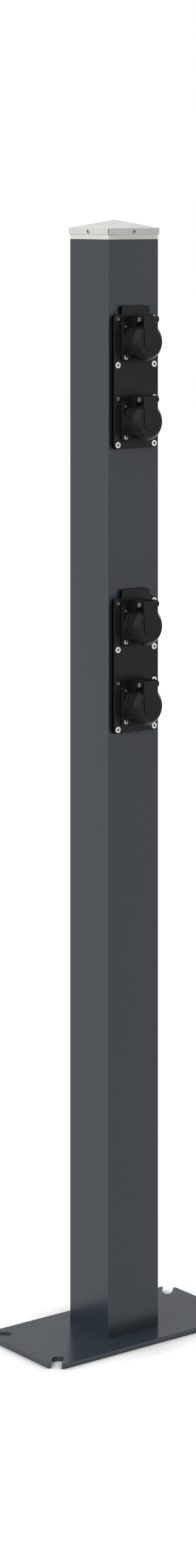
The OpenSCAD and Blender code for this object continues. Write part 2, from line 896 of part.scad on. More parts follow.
// Top-hat rail across the back wall, on two welded studs
module terminal_rail() {
    color([0.75, 0.76, 0.77]) difference() {
        translate([0, inner_y, lower_z]) rotate([90, 0, 90]) linear_extrude(rail_l, center = true) {
            translate([-rail_t, -rail_base_w / 2]) square([rail_t, rail_base_w]);
            for (s = [-1, 1]) {
                scale([1, s]) {
                    translate([-rail_depth, rail_base_w / 2 - rail_t]) square([rail_depth, rail_t]);
                    translate([-rail_depth, rail_base_w / 2 - rail_t]) {
                        square([rail_t, rail_w / 2 - rail_base_w / 2 + rail_t]);
                    }
                }
            }
        }
        for (x = [-rail_stud_x, rail_stud_x]) {
            translate([x, inner_y + past, lower_z]) rotate([90, 0, 0]) {
                cylinder(d = stud_d + 2 * screw_slip, h = rail_t + 2 * past);
            }
        }
    }
}

module nut(d) {
    difference() {
        cylinder(d = nut_w / cos(30), h = nut_h, $fn = 6);
        translate([0, 0, -past]) cylinder(d = d, h = nut_h + 2 * past);
    }
}

module rail_nuts() {
    color([0.8, 0.8, 0.8]) {
        for (x = [-rail_stud_x, rail_stud_x]) {
            translate([x, inner_y - rail_t, lower_z]) rotate([90, 0, 0]) nut(stud_d + 2 * thread_gap);
        }
        translate([bond_x, inner_y - lug_t - slip, bond_z]) rotate([90, 0, 0]) nut(stud_d + 2 * thread_gap);
    }
}

// One rail terminal: a narrow body with wire holes above and below, and a foot that hooks on the rail
function half_terminal(s) =
    let (
        back = inner_y - rail_depth - rail_seat,
        hook = back + rail_t + 2 * rail_seat
    )
    [
        [terminal_front, s * (terminal_half - terminal_chamfer)],
        [terminal_front + terminal_chamfer, s * terminal_half],
        [back - foot_depth - terminal_chamfer, s * terminal_half],
        [back - foot_depth, s * foot_half],
        [hook + hook_t, s * foot_half], [hook + hook_t, s * (rail_w / 2 - hook_grip)],
        [hook, s * (rail_w / 2 - hook_grip)], [hook, s * (rail_w / 2 + rail_seat)],
        [back, s * (rail_w / 2 + rail_seat)]
    ];

module rail_terminal(x) {
    difference() {
        translate([x, 0, lower_z]) rotate([90, 0, 90]) {
            linear_extrude(terminal_w - terminal_gap, center = true) {
                polygon(concat(half_terminal(1), reversed(half_terminal(-1))));
            }
        }
        for (s = [-1, 1]) {
            translate([x, lead_y, lower_z + s * (terminal_half - lead_in - turn_gap + wire_well / 2)]) {
                cylinder(d = lead_d + 2 * slip, h = wire_well, center = true);
            }
        }
        for (s = [-1, 1]) {
            translate([x, terminal_front - past, lower_z + s * clamp_y]) rotate([-90, 0, 0]) {
                cylinder(d = clamp_hole_d, h = clamp_hole_depth + past);
            }
        }
    }
}

module feed_terminals() {
    color([0.55, 0.56, 0.58]) for (i = [0:2]) rail_terminal(LEAD_X[i]);
}

module earth_terminal() {
    color([0.5, 0.62, 0.2]) rail_terminal(bond_x);
}

// Lead from the back of a socket: out, round one bend, and straight to its terminal
module lead_shape(x, drop) {
    translate([x, lead_start_y, 0]) rotate([-90, 0, 0]) cylinder(d = lead_d, h = lead_run);
    translate([x, lead_start_y + lead_run, -lead_bend]) rotate([90, 0, 90]) rotate_extrude(angle = 90) {
        translate([lead_bend, 0]) circle(d = lead_d);
    }
    translate([x, lead_y, -drop]) cylinder(d = lead_d, h = drop - lead_bend);
}

module lead(i) {
    start = SOCKETS[i] + (i < 3 ? -lead_drop : lead_drop);
    end = lower_z + (i < 3 ? 1 : -1) * (terminal_half - lead_in);
    color([0.12, 0.12, 0.13]) translate([0, 0, start]) {
        if (i < 3) lead_shape(LEAD_X[i], start - end);
        else mirror([0, 0, 1]) lead_shape(LEAD_X[i], end - start);
    }
}

// Bond: a thin wire from the earth terminal to a lug on a welded stud
module earth_bond() {
    from_z = lower_z - terminal_half + lead_in;
    bend_1 = lower_z - terminal_half - bond_drop;
    back_y = inner_y - slip - lug_t / 2 - bond_d / 2;
    across = back_y - lead_y - 2 * bond_bend;
    color([0.5, 0.62, 0.2]) translate([bond_x, 0, 0]) {
        translate([0, lead_y, bend_1]) cylinder(d = bond_d, h = from_z - bend_1);
        translate([0, lead_y + bond_bend, bend_1]) rotate([90, 180, 90]) rotate_extrude(angle = 90) {
            translate([bond_bend, 0]) circle(d = bond_d);
        }
        translate([0, lead_y + bond_bend, bend_1 - bond_bend]) rotate([-90, 0, 0]) {
            cylinder(d = bond_d, h = across);
        }
        translate([0, back_y - bond_bend, bend_1 - 2 * bond_bend]) rotate([90, 0, 90]) {
            rotate_extrude(angle = 90) translate([bond_bend, 0]) circle(d = bond_d);
        }
        translate([0, back_y, bond_z + lug_neck - past]) {
            cylinder(d = bond_d, h = bend_1 - 2 * bond_bend - bond_z - lug_neck + past);
        }
        translate([0, inner_y - slip, bond_z]) rotate([90, 0, 0]) linear_extrude(lug_t) difference() {
            union() {
                circle(lug_r);
                translate([-lug_neck_w / 2, 0]) square([lug_neck_w, lug_neck]);
            }
            circle(d = stud_d + 2 * screw_slip);
        }
    }
}

base_plate();
post_tube();
top_collar();
top_cap();
cap_screws();
module_plate(upper_z);  // upper_plate
module_plate(lower_z);  // lower_plate
module_gasket(upper_z);  // upper_gasket
module_gasket(lower_z);  // lower_gasket
module_screws(upper_z);  // upper_plate_screws
module_screws(lower_z);  // lower_plate_screws
housing(SOCKETS[0]);  // housing_1
housing(SOCKETS[1]);  // housing_2
housing(SOCKETS[2]);  // housing_3
housing(SOCKETS[3]);  // housing_4
insert(SOCKETS[0]);  // insert_1
insert(SOCKETS[1]);  // insert_2
insert(SOCKETS[2]);  // insert_3
insert(SOCKETS[3]);  // insert_4
contacts(SOCKETS[0]);  // contacts_1
contacts(SOCKETS[1]);  // contacts_2
contacts(SOCKETS[2]);  // contacts_3
contacts(SOCKETS[3]);  // contacts_4
earth_clip(SOCKETS[0]);  // earth_clip_1
earth_clip(SOCKETS[1]);  // earth_clip_2
earth_clip(SOCKETS[2]);  // earth_clip_3
earth_clip(SOCKETS[3]);  // earth_clip_4
flange_screws(SOCKETS[0]);  // flange_screws_1
flange_screws(SOCKETS[1]);  // flange_screws_2
flange_screws(SOCKETS[2]);  // flange_screws_3
flange_screws(SOCKETS[3]);  // flange_screws_4
hinge_pin(SOCKETS[0]);  // hinge_pin_1
hinge_pin(SOCKETS[1]);  // hinge_pin_2
hinge_pin(SOCKETS[2]);  // hinge_pin_3
hinge_pin(SOCKETS[3]);  // hinge_pin_4
hinge_spring(SOCKETS[0]);  // hinge_spring_1
hinge_spring(SOCKETS[1]);  // hinge_spring_2
hinge_spring(SOCKETS[2]);  // hinge_spring_3
hinge_spring(SOCKETS[3]);  // hinge_spring_4
lid(SOCKETS[0]);  // lid_1
lid(SOCKETS[1]);  // lid_2
lid(SOCKETS[2]);  // lid_3
lid(SOCKETS[3]);  // lid_4
lid_seal(SOCKETS[0]);  // lid_seal_1
lid_seal(SOCKETS[1]);  // lid_seal_2
lid_seal(SOCKETS[2]);  // lid_seal_3
lid_seal(SOCKETS[3]);  // lid_seal_4
insert_screws();
terminal_rail();
rail_nuts();
feed_terminals();
earth_terminal();
lead(0);  // lead_1
lead(1);  // lead_2
lead(2);  // lead_3
lead(3);  // lead_4
earth_bond();
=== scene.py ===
import math
import bpy
import numpy as np
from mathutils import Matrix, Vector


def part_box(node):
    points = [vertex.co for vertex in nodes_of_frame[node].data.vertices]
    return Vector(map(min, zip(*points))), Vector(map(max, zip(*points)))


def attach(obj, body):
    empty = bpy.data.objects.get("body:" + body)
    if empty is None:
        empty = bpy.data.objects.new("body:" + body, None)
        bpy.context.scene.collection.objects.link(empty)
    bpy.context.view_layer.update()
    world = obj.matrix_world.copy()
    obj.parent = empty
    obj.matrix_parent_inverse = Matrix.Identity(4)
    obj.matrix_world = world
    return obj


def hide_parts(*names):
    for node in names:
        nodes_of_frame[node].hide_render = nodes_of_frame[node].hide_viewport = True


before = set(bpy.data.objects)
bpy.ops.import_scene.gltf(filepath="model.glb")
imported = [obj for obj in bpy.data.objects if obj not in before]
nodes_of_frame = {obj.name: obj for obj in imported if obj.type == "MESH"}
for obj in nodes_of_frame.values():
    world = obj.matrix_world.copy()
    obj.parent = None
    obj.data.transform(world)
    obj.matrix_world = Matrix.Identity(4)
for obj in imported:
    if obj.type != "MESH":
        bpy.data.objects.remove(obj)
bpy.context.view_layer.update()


# The view: a level camera at 1.4 m, a little over 4 m away and to the left of the
# post's front, so that the front and the left side both show. The picture's frame is
# tall and narrow, and the shifts keep the horizon near its top and the post in its middle.
def put_in_scene(name, data):
    """New object in the scene that shows the data."""
    made = bpy.data.objects.new(name, data)
    bpy.context.scene.collection.objects.link(made)
    return made


def look_at_the_post():
    """Puts the camera where the photograph was taken from."""
    lens = bpy.data.cameras.new("photo_view")
    lens.sensor_width = 36.0
    lens.lens = 74.17
    lens.shift_x = -0.0001
    lens.shift_y = -0.3717
    lens.clip_end = 60.0
    camera = put_in_scene("photo_view", lens)
    camera.location = (-2.5189, -3.2542, 1.4364)
    camera.rotation_euler = (math.radians(90.0), 0.0, math.radians(-37.46))
    bpy.context.scene.camera = camera


look_at_the_post()
bpy.context.scene.view_settings.view_transform = "Standard"


# The studio: two very large, far and soft lamps, the stronger one high on the left, and a
# pale room that lights the shadows. Rays from the camera, from gloss and through glass
# see a white room.
def far_lamp(name, comes_from, strength):
    """Sun lamp whose light comes from that direction, as soft as from a huge window."""
    width_seen = 85.0
    lamp = bpy.data.lights.new(name, "SUN")
    lamp.energy = strength
    lamp.angle = math.radians(width_seen)
    toward = -np.array(comes_from)
    flat = math.hypot(toward[0], toward[1])
    turn = math.atan2(-toward[0], toward[1])
    put_in_scene(name, lamp).rotation_euler = (math.atan2(flat, -toward[2]), 0.0, turn)


far_lamp("left_lamp", comes_from=(-0.84, -0.18, 0.52), strength=2.43)
far_lamp("front_lamp", comes_from=(0.35, -0.75, 0.55), strength=0.22)


def add_node(tree, kind, **settings):
    """New shader node of that kind with its settings."""
    made = tree.nodes.new("ShaderNode" + kind)
    for name, value in settings.items():
        setattr(made, name, value)
    return made


def feed(tree, term, socket):
    """Gives the socket term, which is a number, a colour or another socket."""
    if isinstance(term, bpy.types.NodeSocket):
        tree.links.new(term, socket)
    else:
        socket.default_value = term


def sums(tree, operation, *terms):
    """Output of a Math node; each term is a number or a socket."""
    made = add_node(tree, "Math", operation=operation)
    for i, term in enumerate(terms):
        feed(tree, term, made.inputs[i])
    return made.outputs[0]


def seen_ray(tree):
    """1 for rays from the camera, from gloss and through glass, 0 for the rest."""
    path = add_node(tree, "LightPath")
    outside = sums(tree, "MAXIMUM", path.outputs["Is Camera Ray"], path.outputs["Is Glossy Ray"])
    return sums(tree, "MAXIMUM", outside, path.outputs["Is Transmission Ray"])


def seen_or_lit(tree, lit, seen, end):
    """Feeds the end node's surface from seen for the rays that see, from lit for others."""
    mix = add_node(tree, "MixShader")
    tree.links.new(seen_ray(tree), mix.inputs["Fac"])
    tree.links.new(lit.outputs[0], mix.inputs[1])
    tree.links.new(seen.outputs[0], mix.inputs[2])
    tree.links.new(mix.outputs[0], add_node(tree, end).inputs["Surface"])


def pale_room(ambient):
    """White world for the rays that see it, and a dimmer one that lights the rest."""
    room = bpy.data.worlds.new("pale_room")
    bpy.context.scene.world = room
    room.use_nodes = True
    tree = room.node_tree
    tree.nodes.clear()
    seen, lit = add_node(tree, "Background"), add_node(tree, "Background")
    seen.inputs["Color"].default_value = (1.0, 1.0, 1.0, 1.0)
    seen.inputs["Strength"].default_value = 1.0
    lit.inputs["Color"].default_value = (0.97, 0.985, 1.0, 1.0)
    lit.inputs["Strength"].default_value = ambient
    seen_or_lit(tree, lit, seen, "OutputWorld")


pale_room(ambient=0.55)


# The floor: one pale sheet that runs out of sight. It is white in the picture and keeps
# the lamps' soft shadows. Where it is seen, its glow also falls off where the floor is
# closed in, a painted shadow that is deepest beside the plate. For the light that it
# throws back it is a mid grey.
def floor_paint():
    """Matt paint that, where it is seen, glows with the share of open sky above it: painted
    shadow near what stands on it.
    """
    sky_reach, deepening, glow_level = 0.08, 2.8, 0.76
    paint = bpy.data.materials.new("floor_paint")
    paint.use_nodes = True
    tree = paint.node_tree
    tree.nodes.clear()
    thrown, seen = add_node(tree, "BsdfDiffuse"), add_node(tree, "BsdfDiffuse")
    thrown.inputs["Color"].default_value = (0.35, 0.35, 0.35, 1.0)
    seen.inputs["Color"].default_value = (0.3, 0.3, 0.3, 1.0)
    open_sky = add_node(tree, "AmbientOcclusion")
    open_sky.inputs["Distance"].default_value = sky_reach
    # Painted shadow: the glow is dimmed where the floor is closed in.
    glow_under_painted_shadow = sums(tree, "POWER", open_sky.outputs["AO"], deepening)
    glow = add_node(tree, "Emission")
    glow.inputs["Color"].default_value = (1.0, 1.0, 1.0, 1.0)
    tree.links.new(sums(tree, "MULTIPLY", glow_under_painted_shadow, glow_level), glow.inputs["Strength"])
    bright = add_node(tree, "AddShader")
    tree.links.new(seen.outputs[0], bright.inputs[0])
    tree.links.new(glow.outputs[0], bright.inputs[1])
    seen_or_lit(tree, thrown, bright, "OutputMaterial")
    return paint


def pale_floor(half):
    """Square sheet of 2 x half metres at height 0."""
    mesh = bpy.data.meshes.new("floor")
    corners = [(-half, -half, 0.0), (half, -half, 0.0), (half, half, 0.0), (-half, half, 0.0)]
    mesh.from_pydata(corners, [], [(0, 1, 2, 3)])
    mesh.materials.append(floor_paint())
    sheet = put_in_scene("floor", mesh)


pale_floor(half=14.0)


# Base plate and post: laser-cut steel, welded from inside so that no bead shows, then
# blasted and powder coated anthracite in one go. The glossy coat has a fine orange peel,
# is a little paler on the edges, and holds a trace of dust on what faces up.
def shader_group(name, inputs, outputs):
    """Empty node group with named number inputs, or vectors where the default is one, and
    named number outputs; returns it with its two end nodes."""
    group = bpy.data.node_groups.new(name, "ShaderNodeTree")
    for label, default in inputs.items():
        kind = "NodeSocketVector" if isinstance(default, tuple) else "NodeSocketFloat"
        socket = group.interface.new_socket(label, in_out="INPUT", socket_type=kind)
        socket.default_value = default
    for label in outputs:
        group.interface.new_socket(label, in_out="OUTPUT", socket_type="NodeSocketFloat")
    return group, group.nodes.new("NodeGroupInput"), group.nodes.new("NodeGroupOutput")


def ramp_between(tree, value, low, high):
    """Smooth 0 to 1 as value goes from low to high."""
    made = add_node(tree, "MapRange", interpolation_type="SMOOTHSTEP")
    for i, term in enumerate((value, low, high)):
        feed(tree, term, made.inputs[i])
    return made.outputs[0]


def rest_of(tree, share):
    """1 less the share."""
    return sums(tree, "SUBTRACT", 1.0, share)


def parts_of(tree, told):
    """The three parts of told, which is Object for the point's place, or Normal."""
    place, parts = add_node(tree, "TexCoord"), add_node(tree, "SeparateXYZ")
    tree.links.new(place.outputs[told], parts.inputs[0])
    return [parts.outputs[axis] for axis in "XYZ"]


def noise_on(tree, spot, scale, detail, distortion=0.0):
    """Noise from 0 to 1 at the spot."""
    noise = add_node(tree, "TexNoise")
    noise.inputs["Detail"].default_value = detail
    noise.inputs["Distortion"].default_value = distortion
    feed(tree, scale, noise.inputs["Scale"])
    tree.links.new(spot, noise.inputs["Vector"])
    return noise.outputs["Fac"]


def orange_peel_group():
    """Two noises on Object coordinates: the small swell of the coat, and a slow drift."""
    group, start, end = shader_group(
        "orange_peel", {"Scale": 900.0, "Drift Scale": 9.0}, ["Height", "Drift"])
    spot = add_node(group, "TexCoord").outputs["Object"]
    for label, scale in (("Height", "Scale"), ("Drift", "Drift Scale")):
        noise = noise_on(group, spot, start.outputs[scale], detail=3.0)
        group.links.new(noise, end.inputs[label])
    return group


def rubbed_corner_group():
    """Mask along the upright corners of a box of the given half sizes, broken by noise."""
    group, start, end = shader_group(
        "rubbed_corner", {"Half X": 0.04, "Half Y": 0.04, "Width": 0.002}, ["Mask"])
    x, y, _ = parts_of(group, "Object")
    from_x = sums(group, "SUBTRACT", start.outputs["Half X"], sums(group, "ABSOLUTE", x))
    from_y = sums(group, "SUBTRACT", start.outputs["Half Y"], sums(group, "ABSOLUTE", y))
    near = sums(group, "MAXIMUM", from_x, from_y)
    spot = add_node(group, "TexCoord").outputs["Object"]
    noise = noise_on(group, spot, scale=60.0, detail=5.0)
    reach = sums(group, "MULTIPLY", start.outputs["Width"], noise)
    group.links.new(rest_of(group, ramp_between(group, near, 0.0, reach)), end.inputs["Mask"])
    return group


def dust_and_top_light_group():
    """Mask on faces that look up, and fading out above the floor: settled dust, and on the cap's
    roof painted light.
    """
    group, start, end = shader_group(
        "dust_and_top_light", {"Upper": 0.3, "Lower": 0.2, "Reach": 0.12}, ["Mask"])
    height, upward = parts_of(group, "Object")[2], parts_of(group, "Normal")[2]
    spot = add_node(group, "TexCoord").outputs["Object"]
    noise = noise_on(group, spot, scale=140.0, detail=6.0)
    facing_up = ramp_between(group, upward, 0.3, 1.0)
    up = sums(group, "MULTIPLY", facing_up, start.outputs["Upper"])
    fade = rest_of(group, ramp_between(group, height, 0.0, start.outputs["Reach"]))
    low = sums(group, "MULTIPLY", fade, start.outputs["Lower"])
    both = sums(group, "MULTIPLY", sums(group, "MAXIMUM", up, low), noise)
    group.links.new(both, end.inputs["Mask"])
    return group


def facing_side_group():
    """1 on faces that look to the side, 0 on faces that look up or down."""
    group, start, end = shader_group("facing_side", {"Low": 0.2, "High": 0.8}, ["Side"])
    level = sums(group, "ABSOLUTE", parts_of(group, "Normal")[2])
    up = ramp_between(group, level, start.outputs["Low"], start.outputs["High"])
    group.links.new(rest_of(group, up), end.inputs["Side"])
    return group


ORANGE_PEEL = orange_peel_group()
RUBBED_CORNER = rubbed_corner_group()
DUST_AND_TOP_LIGHT = dust_and_top_light_group()
FACING_SIDE = facing_side_group()


def place_group(tree, group, **values):
    """Group node of that group, with its named inputs set; _ stands for a space."""
    made = add_node(tree, "Group", node_tree=group)
    for name, value in values.items():
        made.inputs[name.replace("_", " ")].default_value = value
    return made


def blend_colours(tree, mask, under, over):
    """Colour that goes from under to over as mask goes from 0 to 1."""
    made = add_node(tree, "Mix", data_type="RGBA")
    tree.links.new(mask, made.inputs["Factor"])
    for i, colour in ((6, under), (7, over)):
        feed(tree, (*colour, 1.0) if isinstance(colour, tuple) else colour, made.inputs[i])
    return made.outputs[2]


def spread(tree, value, low, high):
    """value, which runs from 0 to 1, taken to run from low to high."""
    made = add_node(tree, "MapRange")
    tree.links.new(value, made.inputs["Value"])
    made.inputs["To Min"].default_value = low
    made.inputs["To Max"].default_value = high
    return made.outputs[0]


def new_finish(name):
    """Empty material with its shader; returns the material, its tree and the shader."""
    finish = bpy.data.materials.new(name)
    finish.use_nodes = True
    return finish, finish.node_tree, finish.node_tree.nodes["Principled BSDF"]


def bump_from(tree, shader, height, depth):
    """Drives the shader's normal from a height of 0 to 1 that stands for depth metres."""
    bump = add_node(tree, "Bump")
    bump.inputs["Strength"].default_value = 1.0
    bump.inputs["Distance"].default_value = depth
    tree.links.new(height, bump.inputs["Height"])
    tree.links.new(bump.outputs[0], shader.inputs["Normal"])


def column_coat(name, half_x, half_y, dark, pale, specular, coat_on_sides):
    """Anthracite powder coat on a box of these half sizes, between two close tones."""
    finish, tree, shader = new_finish(name)
    peel = place_group(tree, ORANGE_PEEL, Scale=1100.0, Drift_Scale=7.0)
    rub = place_group(tree, RUBBED_CORNER, Half_X=half_x, Half_Y=half_y, Width=0.0005)
    top_mask = place_group(tree, DUST_AND_TOP_LIGHT, Upper=0.01, Lower=0.01, Reach=0.1)
    tone = blend_colours(tree, peel.outputs["Drift"], dark, pale)
    edge = blend_colours(tree, rub.outputs["Mask"], tone, (0.024, 0.032, 0.041))
    colour = blend_colours(tree, top_mask.outputs["Mask"], edge, (0.2, 0.19, 0.175))
    tree.links.new(colour, shader.inputs["Base Color"])
    tree.links.new(spread(tree, peel.outputs["Drift"], 0.2, 0.3), shader.inputs["Roughness"])
    shader.inputs["Specular IOR Level"].default_value = specular
    if coat_on_sides:
        facing = place_group(tree, FACING_SIDE)
        tree.links.new(facing.outputs["Side"], shader.inputs["Coat Weight"])
        shader.inputs["Coat Roughness"].default_value = 0.2
    bump_from(tree, shader, peel.outputs["Height"], depth=0.00001)
    return finish


def of_each_face(piece, told):
    """One row of three numbers for each face: its normal or its center, as told says."""
    rows = np.empty(3 * len(piece.data.polygons))
    piece.data.polygons.foreach_get(told, rows)
    return rows.reshape(-1, 3)


def shade_and_soften(piece, edge=0.0):
    """Rounds a piece's sharp edges by edge metres. It is shaded smooth, but for the faces
    square to an axis where edge is 0."""
    square = np.abs(of_each_face(piece, "normal")).max(axis=1) > 0.99999
    piece.data.polygons.foreach_set("use_smooth", ~square | bool(edge))
    joined = piece.modifiers.new("joined", "WELD")
    joined.merge_threshold = 1e-6
    if edge:
        flat = piece.modifiers.new("flat_faces", "DECIMATE")
        flat.decimate_type = "DISSOLVE"
        flat.angle_limit = math.radians(0.5)
        soft = piece.modifiers.new("soft_edge", "BEVEL")
        soft.width = edge
        soft.segments = 2
        soft.limit_method = "ANGLE"
        soft.angle_limit = math.radians(32.0)
    even = piece.modifiers.new("even_shading", "WEIGHTED_NORMAL")
    even.keep_sharp = False


def dress(names, finish, edge=0.0):
    """Gives CAD nodes a finish and softens their edges."""
    for name in names:
        piece = nodes_of_frame[name]
        piece.data.materials.clear()
        piece.data.materials.append(finish)
        shade_and_soften(piece, edge)


def sharp_square(name, node, finish):
    """Stands for a node that is square in plan, with its upright corners pulled in to the
    tight radius that a drawn tube has: a point beside a corner keeps its direction from
    the corner's centre, and the distance shrinks in step."""
    tight, loose, hair = 0.0006, 0.002, 1e-6
    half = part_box(node)[1][0]
    mesh = nodes_of_frame[node].data.copy()
    mesh.name = name
    spots = np.empty(3 * len(mesh.vertices))
    mesh.vertices.foreach_get("co", spots)
    spots = spots.reshape(-1, 3)
    plan = spots[:, :2]
    out = np.abs(plan) - (half - loose)
    corner = (out > -hair).all(axis=1)
    drawn = np.sign(plan) * (half - tight + out * tight / loose)
    spots[corner, :2] = drawn[corner]
    mesh.vertices.foreach_set("co", spots.ravel())
    mesh.materials.clear()
    mesh.materials.append(finish)
    mesh.update()
    piece = put_in_scene(name, mesh)
    shade_and_soften(piece)
    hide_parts(node)
    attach(piece, "column")


def walls_between(rings, sides, closed):
    """Faces from each ring of points to the next, all the way round the ring; where
    closed, the last ring joins the first."""
    ring, side = np.meshgrid(np.arange(rings if closed else rings - 1), np.arange(sides),
                             indexing="ij")
    next_ring, next_side = (ring + 1) % rings, (side + 1) % sides
    corners = [ring * sides + side, ring * sides + next_side,
               next_ring * sides + next_side, next_ring * sides + side]
    return np.stack(corners, 2).reshape(-1, 4)


def smooth_piece(name, spots, faces, finish):
    """New piece of these points and faces, shaded smooth, in one finish."""
    mesh = bpy.data.meshes.new(name)
    mesh.from_pydata(spots.reshape(-1, 3).tolist(), [], faces)
    mesh.polygons.foreach_set("use_smooth", np.ones(len(mesh.polygons), bool))
    mesh.materials.append(finish)
    return put_in_scene(name, mesh)


def foot_weld(half, floor, leg, finish):
    """The line runs round inside the tube, where the 40th powers of x and y add up to that
    of half. The section is a corner with a bulging face, which goes from the wall to the
    plate as a sine and cosine to the power 1.4. The leg swells along the line in pools
    2.2 mm long, each the upper half of a sine."""
    squareness, bulge, pool, least, swelling = 40.0, 1.4, 0.0022, 0.94, 0.08
    root, buried = 0.9 * leg, -0.0002
    angle = np.linspace(0.0, 2.0 * np.pi, 1400, endpoint=False)
    way = np.stack([np.cos(angle), np.sin(angle)], 1)
    power_sum = (np.abs(way) ** squareness).sum(axis=1, keepdims=True)
    line = way / power_sum ** (1.0 / squareness)
    steps = np.linalg.norm(np.roll(line, -1, axis=0) - line, axis=1) * half
    pools = round(steps.sum() / pool)
    reached = np.concatenate([[0.0], np.cumsum(steps)[:-1]]) / steps.sum() * pools
    swell = (least + swelling * np.abs(np.sin(np.pi * reached)))[:, None]
    sweep = np.linspace(0.0, 0.5 * np.pi, 11)
    inset = np.concatenate([leg * np.sin(sweep) ** bulge, [root, buried, buried]])
    height = np.concatenate([leg * np.cos(sweep) ** bulge, [buried, buried, root]])
    inset, height = (np.where(side > 0.0, side * swell, side) for side in (inset, height))
    plan = line[:, None, :] * (half - inset)[:, :, None]
    spots = np.concatenate([plan, floor + height[:, :, None]], axis=2)
    outwards = walls_between(*inset.shape, closed=True)[:, [0, 3, 2, 1]]
    bead = smooth_piece("foot_weld", spots, outwards.tolist(), finish)
    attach(bead, "column")


post_half, post_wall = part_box("post_tube")[1][0], 0.003
plate_half_x, plate_half_y, plate_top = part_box("base_plate")[1]
POST_COAT = column_coat("post_coat", half_x=post_half, half_y=post_half,
                        dark=(0.0145, 0.0215, 0.0305), pale=(0.0175, 0.0245, 0.034),
                        specular=0.5, coat_on_sides=False)
sharp_square("drawn_post", "post_tube", POST_COAT)
foot_weld(half=post_half - post_wall, floor=plate_top, leg=0.003, finish=POST_COAT)
# The plate's coat is a paler copy of the post's: painted light.
dress(["base_plate"],
      column_coat("plate_coat", half_x=plate_half_x, half_y=plate_half_y,
                  dark=(0.023, 0.033, 0.043), pale=(0.026, 0.036, 0.047),
                  specular=0.11, coat_on_sides=True), edge=0.0005)


# Collar: a ring of square aluminium section pressed into the tube, satin anodised, with
# its upper band showing under the cap. The top of that band is painted pale, painted
# light against the shade under the cap's skirt.
def brushed_grain_group():
    """Noise drawn out along one axis: fine lines as height, slow bands as shade."""
    group, start, end = shader_group(
        "brushed_grain", {"Stretch": (900.0, 900.0, 40.0), "Bands": (30.0, 30.0, 8.0)},
        ["Height", "Shade"])
    spot = add_node(group, "TexCoord").outputs["Object"]
    for label, pick in (("Height", "Stretch"), ("Shade", "Bands")):
        drawn = add_node(group, "VectorMath", operation="MULTIPLY")
        group.links.new(spot, drawn.inputs[0])
        group.links.new(start.outputs[pick], drawn.inputs[1])
        noise = noise_on(group, drawn.outputs[0], scale=1.0, detail=4.0)
        group.links.new(noise, end.inputs[label])
    return group


def painted_light_lip_group():
    """0 below Height, rising to 1 at Reach above it."""
    group, start, end = shader_group("painted_light_lip", {"Height": 0.0, "Reach": 0.002}, ["Mask"])
    top = sums(group, "ADD", start.outputs["Height"], start.outputs["Reach"])
    lip = ramp_between(group, parts_of(group, "Object")[2], start.outputs["Height"], top)
    group.links.new(lip, end.inputs["Mask"])
    return group


BRUSHED_GRAIN = brushed_grain_group()
PAINTED_LIGHT_LIP = painted_light_lip_group()


def metal(name, dark, pale, rough, stretch, metallic=1.0, painted_light_above=None):
    """Bare metal with brushed lines drawn out along the small component of stretch. Above
    the given height it turns pale: painted light."""
    finish, tree, shader = new_finish(name)
    grain = place_group(tree, BRUSHED_GRAIN, Stretch=stretch)
    tone = blend_colours(tree, grain.outputs["Shade"], dark, pale)
    if painted_light_above:
        lip = place_group(tree, PAINTED_LIGHT_LIP, Height=painted_light_above, Reach=0.0014)
        tone = blend_colours(tree, lip.outputs["Mask"], tone, (0.88, 0.88, 0.83))
    tree.links.new(tone, shader.inputs["Base Color"])
    tree.links.new(spread(tree, grain.outputs["Height"], *rough), shader.inputs["Roughness"])
    shader.inputs["Metallic"].default_value = metallic
    bump_from(tree, shader, grain.outputs["Height"], depth=0.000004)
    return finish


# Height of the painted light at the top of the collar's band, under the cap.
painted_light_band = 0.0019
sharp_square("square_collar", "top_collar",
             metal("collar_anodised", dark=(0.63, 0.63, 0.58), pale=(0.68, 0.68, 0.63),
                   rough=(0.4, 0.55), stretch=(60.0, 60.0, 1500.0), metallic=0.05,
                   painted_light_above=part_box("top_cap")[0][2] - painted_light_band))


# Cap: 1.2 mm aluminium sheet, laser cut, folded to a low pyramid with a skirt on each
# side and powder coated silver grey; a screw through each skirt holds it to the collar.
def cap_coat():
    """Fine silver powder coat over sheet whose rolling lines still show faintly as level
    streaks, and a paler roof: painted light on the faces that look up."""
    finish, tree, shader = new_finish("cap_coat")
    peel = place_group(tree, ORANGE_PEEL, Scale=1500.0, Drift_Scale=20.0)
    rolled = place_group(tree, BRUSHED_GRAIN, Stretch=(60.0, 60.0, 1500.0),
                         Bands=(12.0, 12.0, 620.0))
    # The roof's paler tone on what faces up is painted light.
    top_mask = place_group(tree, DUST_AND_TOP_LIGHT, Upper=1.3, Lower=0.0, Reach=0.01)
    streak = ramp_between(tree, rolled.outputs["Shade"], 0.3, 0.7)
    tone = blend_colours(tree, streak, (0.556, 0.559, 0.521), (0.627, 0.63, 0.589))
    colour = blend_colours(tree, top_mask.outputs["Mask"], tone, (0.637, 0.646, 0.656))
    tree.links.new(colour, shader.inputs["Base Color"])
    tree.links.new(spread(tree, peel.outputs["Height"], 0.42, 0.55), shader.inputs["Roughness"])
    bump_from(tree, shader, peel.outputs["Height"], depth=0.00001)
    return finish


dress(["top_cap"], cap_coat(), edge=0.0003)


# Corner joints of the cap: one skirt runs past the end of the next and leaves a slit
# beside it. At the front left corner and the one opposite, a near-black bead in the slit
# stands in for the shade there: painted shade.
def grey(level):
    """Colour with the same level in red, green and blue."""
    return (level, level, level)


def slit_shade_finish():
    """Near-black finish, painted shade, for the beads in the slits, with a soft sheen and a slow
    drift of tone.
    """
    finish, tree, shader = new_finish("corner_slit_shade")
    peel = place_group(tree, ORANGE_PEEL, Scale=2200.0, Drift_Scale=300.0)
    tone = blend_colours(tree, peel.outputs["Drift"], grey(0.003), grey(0.007))
    tree.links.new(tone, shader.inputs["Base Color"])
    tree.links.new(spread(tree, peel.outputs["Drift"], 0.5, 0.65), shader.inputs["Roughness"])
    shader.inputs["Specular IOR Level"].default_value = 0.2
    bump_from(tree, shader, peel.outputs["Height"], depth=0.00001)
    return finish


SLIT_SHADE = slit_shade_finish()


